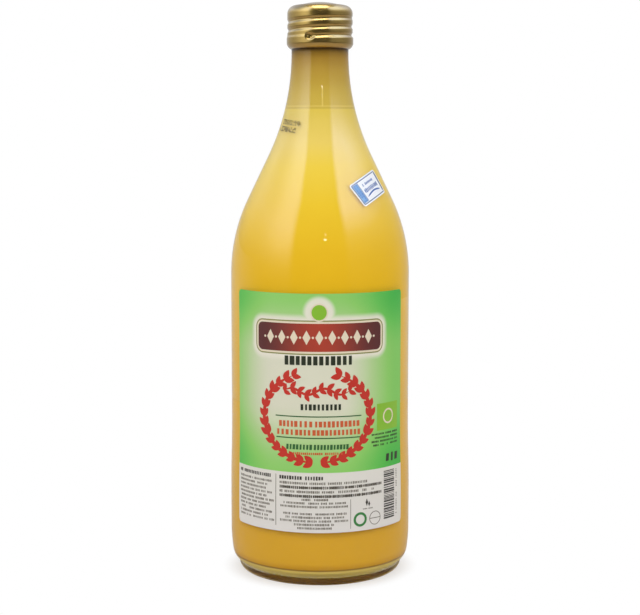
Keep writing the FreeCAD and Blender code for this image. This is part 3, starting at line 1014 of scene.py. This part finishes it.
def on_shoulder(along, up, lift):
    """Place on the tag: millimetres along it and up it from its middle, and off the glass."""
    flat = (tag_centre + tag_level * (along * math.cos(tilt) - up * math.sin(tilt))
            + tag_rise * (along * math.sin(tilt) + up * math.cos(tilt)))
    depth = 0.0
    for _ in range(8):
        spot = flat - tag_normal * depth
        gap = math.hypot(spot.x, spot.y) - glass_radius(spot.z)
        depth += gap * math.cos(tag_slope)
    return (spot + tag_normal * lift) * MM


tag_paper, bench = new_finish("tag_paper")
fibres = bench.noise(900.0, 3.0)
bench.painted({
    "Base Color": fibres.ramp((0.3, paint(236, 238, 242)), (0.7, paint(242, 244, 247))),
    "Roughness": 0.55,
    "Normal": bench.bump(fibres, 0.00001),
})
half_length = TAG_LENGTH / 2
half_width = TAG_WIDTH / 2
tag_box = (-half_length, -half_width, half_length, half_width)
tag_mesh = plates("tag_paper", [block(*tag_box, TAG_CORNER, 0.7, 12)], -0.02, PAPER)
tag = new_piece("tag_paper", laid(tag_mesh, on_shoulder), tag_paper)
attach(tag, "root")
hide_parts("tag")

slate_ink = ink("slate_ink", paint(66, 88, 122))
blue_ink = ink("blue_ink", paint(44, 92, 164))
pale_blue_ink = ink("pale_blue_ink", paint(128, 176, 220))
inner_box = (-half_length + 0.9, -half_width + 0.9, half_length - 0.9, half_width - 0.9)
slate_shapes = [
    frame_round(inner_box, 0.5, -0.2, 0.25),
    block(8.8, -4.6, 9.5, 4.8, 0.0, 0.35, 8),
    block(-6.3, -4.8, -6.0, 4.9, 0.0, 0.3, 8),
]
printed("tag_lines", slate_shapes, slate_ink, INK_HIGH, on_shoulder)
tag_strip = block(-9.4, -4.8, -6.4, 4.9, 0.0, 0.7, 8)
printed("tag_strip", [tag_strip], pale_blue_ink, INK_HIGH, on_shoulder)
strip_rows = [(-8.6 + n * 1.4, -4.2, -8.6 + n * 1.4, 4.4, 1.1, 1.1, 0.85) for n in range(2)]
word_rows = [(-4.4, -0.2, 6.4, -0.2, 1.0, 0.85, 2.2), (-3.6, 2.7, 4.4, 2.7, 1.0, 0.75, 1.3)]
print_rows("tag_blocks", strip_rows + word_rows, blue_ink, 0.12, 0.6, 0.7, 0.15, 31,
           INK_LOW, INK_HIGH + 0.02, on_shoulder)
swing = [(-4.8 + 12.0 * n / 16, -3.2 + 1.1 * math.sin(n / 16 * math.pi)) for n in range(17)]
printed("tag_swing", [ribbon(swing, 0.75)], blue_ink, INK_HIGH, on_shoulder)


# ---- Date code ------------------------------------------------------------------------------
# Two short rows of dots from the filling line's ink jet, sprayed on the glass at the foot of the
# neck. Here they are plain random dots that spell nothing.

CODE_ROWS = ((-49.0, 220.0), (-55.0, 216.9))    # degrees from the front, and height
CODE_SPREAD = 38.0
CODE_FALL = 1.3
DOT_PITCH = 0.62
DOT_SIZE = 0.52


def on_neck(turn, up, lift):
    """Place by the neck: degrees from the front, millimetres up from the table, and off the glass."""
    return on_glass(math.radians(turn), up, lift)


code_ink = ink("code_ink", paint(92, 76, 28))
code_rows = []
for middle, height in CODE_ROWS:
    for line in range(4):
        up = height + (line - 1.5) * DOT_PITCH
        code_rows.append((middle - CODE_SPREAD / 2, up + CODE_FALL / 2,
                          middle + CODE_SPREAD / 2, up - CODE_FALL / 2, 1.9, 1.5, DOT_SIZE))
print_rows("date_dots", code_rows, code_ink, 0.42, 0.9, 0.9, 0.0, 41, -0.01, 0.03, on_neck)


# ---- Table, lamps and camera ----------------------------------------------------------------
# A pale seamless table, soft boxes high at the sides and behind, an even room light, and cards that
# only show mirrored. The table is white to the camera apart from the shadow close round the foot.

TABLE_RADIUS = 0.5
AMBIENT = 0.57
BACK_GLOSS = 0.6
FRONT_GLOSS = 0.09
LAMP_AIM = 0.16
SOFT_BOX_REACH = 1.2
SOFT_BOX_SIZE = 0.8
CARD_AIM = 0.2
CARD_GLOW = 4.2
CAMERA_AWAY = 0.72
CAMERA_HEIGHT = 0.212
CAMERA_PITCH = 6.535
CAMERA_LENS = 82.56

rim = arc((0, 0), TABLE_RADIUS, 0, 357, 119)
table_mesh = new_mesh("table", [(x, y, 0) for x, y in rim], [tuple(range(len(rim)))])
pale_table, bench = new_finish("pale_table")
across, away, _ = bench.place()
spread = bench.length(across, away)
path = bench.node("ShaderNodeLightPath")
straight_look = path.math("MAXIMUM", path["Is Camera Ray"], path["Is Transmission Ray"])
lit = bench.node("ShaderNodeBsdfDiffuse", {"Color": paint(214, 204, 194)})
glow = bench.node("ShaderNodeEmission", {"Color": (1.0, 1.0, 1.0, 1.0), "Strength": 1.0})
clean = spread.share(37.0, 50.0) * 0.42 + 0.58
bench.surface(bench.node("ShaderNodeMixShader", {0: straight_look * clean, 1: lit, 2: glow}))
table = new_piece("table", table_mesh, pale_table)

world = bpy.data.worlds.new("room")
bpy.context.scene.world = world
world.use_nodes = True
bench = Bench(world.node_tree)
heading = bench.node("ShaderNodeSeparateXYZ", {0: bench.node("ShaderNodeTexCoord")["Generated"]})
path = bench.node("ShaderNodeLightPath")
behind = heading["Y"].share(-0.6, 0.6)
gloss = behind * (BACK_GLOSS - FRONT_GLOSS) + FRONT_GLOSS
straight_look = path.math("MAXIMUM", path["Is Camera Ray"], path["Is Transmission Ray"])
strength = straight_look * (1.0 - AMBIENT) + AMBIENT
strength = strength + path["Is Glossy Ray"] * (gloss - strength)
room = bench.node("ShaderNodeBackground", {"Color": (1.0, 1.0, 1.0, 1.0), "Strength": strength})
bench.node("ShaderNodeOutputWorld", {"Surface": room})


def soft_box(name, azimuth, elevation, radiance):
    """Square area lamp turned to the bottle's shoulder. Azimuth 0 is the front, positive is right."""
    light = bpy.data.lights.new(name, "AREA")
    light.size = SOFT_BOX_SIZE
    light.energy = radiance * SOFT_BOX_SIZE * SOFT_BOX_SIZE * 4
    lamp = linked(name, light)
    a = math.radians(azimuth)
    e = math.radians(elevation)
    away = Vector((math.sin(a) * math.cos(e), -math.cos(a) * math.cos(e), math.sin(e)))
    lamp.location = Vector((0, 0, LAMP_AIM)) + away * SOFT_BOX_REACH
    lamp.rotation_euler = away.to_track_quat("Z", "Y").to_euler()
    lamp.visible_glossy = False


soft_box("soft_box_left", -50, 32, 2.25)
soft_box("soft_box_right", 52, 32, 2.1)
soft_box("soft_box_back", 178, 36, 1.0)


def hidden_card(name, mesh, material):
    """Card that only shows mirrored in glass and metal."""
    card = new_piece(name, mesh, material)
    card.visible_camera = False
    card.visible_diffuse = False
    card.visible_transmission = False
    card.visible_shadow = False


def shine_card(name, reach, left, right, left_fade, right_fade, heights):
    """Upright curved card between two azimuths, which fades over some degrees at each side.

    Its glow follows stops of (height in metres, share of the full glow).
    """
    low = heights[0][0]
    high = heights[-1][0]
    verts = []
    for turn in range(17):
        angle = math.radians(left + (right - left) * turn / 16)
        for height in (low, high):
            verts.append((reach * math.sin(angle), -reach * math.cos(angle), height))
    mesh = new_mesh(name, verts, [(2 * n, 2 * n + 2, 2 * n + 3, 2 * n + 1) for n in range(16)])
    material, bench = new_finish(name)
    across, away, height = bench.place()
    turn = across.math("ARCTAN2", across, 0 - away) * (180 / math.pi)
    soft_edge = turn.share(left, left + left_fade) * (1 - turn.share(right - right_fade, right))
    share = (height * MM - low) / (high - low)
    stops = []
    for place, glow in heights:
        cool = soft_step(place, 0.35, 1.3)
        tint = (0.9 - 0.4 * cool, 0.92 - 0.27 * cool, 0.8 + 0.3 * cool)
        stops.append(((place - low) / (high - low), (*[glow * part for part in tint], 1.0)))
    shine = bench.node("ShaderNodeEmission", {"Color": share.ramp(*stops), "Strength": CARD_GLOW})
    open_way = bench.node("ShaderNodeBsdfTransparent")
    bench.surface(bench.node("ShaderNodeMixShader", {0: soft_edge, 1: open_way, 2: shine}))
    hidden_card(name, mesh, material)


def flat_card(name, centre, width, depth, glow):
    """Level or small flat card that faces the bottle."""
    turn = (Vector((0, 0, CARD_AIM)) - Vector(centre)).to_track_quat("Z", "Y")
    verts = [Vector(centre) + turn @ Vector((x * width / 2, y * depth / 2, 0))
             for x, y in ((-1, -1), (1, -1), (1, 1), (-1, 1))]
    mesh = new_mesh(name, verts, [(0, 1, 2, 3)])
    material, bench = new_finish(name)
    bench.surface(bench.node("ShaderNodeEmission", {"Strength": glow}))
    hidden_card(name, mesh, material)


shine_card("card_left", 1.3, -105, -32, 52, 11,
           [(0.0, 0.06), (0.2, 0.16), (0.32, 0.3), (0.5, 0.58), (0.8, 0.88), (2.6, 1.0)])
shine_card("card_left_back", 1.35, -175, -50, 55, 50,
           [(0.25, 0.1), (0.5, 0.24), (0.85, 0.42), (1.2, 0.3), (2.6, 0.3)])
shine_card("card_right", 1.3, 30, 178, 12, 112,
           [(0.0, 0.05), (0.3, 0.08), (0.5, 0.14), (0.7, 0.24), (0.95, 0.66), (1.2, 1.0), (2.6, 1.1)])
flat_card("card_top", (0.0, -0.5, 1.7), 1.0, 1.0, 6.0)
flat_card("lamp_spot_high", (0.14, -1.1, 0.69), 0.05, 0.014, 11.0)
flat_card("lamp_spot_low", (0.14, -1.1, 0.61), 0.07, 0.026, 13.0)

camera_data = bpy.data.cameras.new("camera")
camera_data.lens = CAMERA_LENS
camera_data.sensor_width = 36.0
camera = linked("camera", camera_data)
camera.location = (0.0, -CAMERA_AWAY, CAMERA_HEIGHT)
camera.rotation_euler = (math.radians(90 - CAMERA_PITCH), 0.0, 0.0)
bpy.context.scene.camera = camera

bpy.context.scene.view_settings.view_transform = "Standard"
